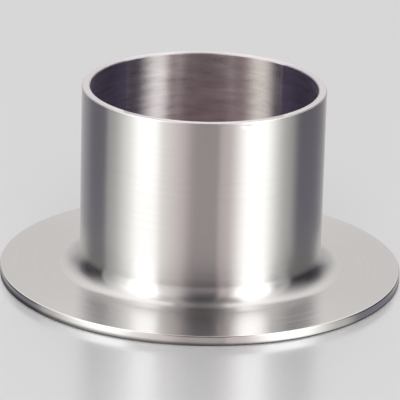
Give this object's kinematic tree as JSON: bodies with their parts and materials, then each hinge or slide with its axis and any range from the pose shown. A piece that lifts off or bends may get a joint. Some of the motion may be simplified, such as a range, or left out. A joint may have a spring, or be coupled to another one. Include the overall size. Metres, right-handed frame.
{
  "type": "stub end",
  "caption": "Lapped stub end: a thin stainless neck with a flat collar, for butt-welding to a pipe and clamping with a loose backing flange.",
  "frame": {"origin": "centre of the sealing face, on the bore's axis; this face is the bottom of the part", "axes": "+Z along the bore from the sealing face to the weld end; the part is round about Z, so X and Y are free"},
  "size_m": [0.08, 0.08, 0.039],
  "materials": {
    "stainless_steel": "bare stainless steel, turned and brushed round the axis; satin collar, bright cut edges"
  },
  "bodies": {
    "root": {"stub_end": "stainless_steel"}
  },
  "joints": []
}
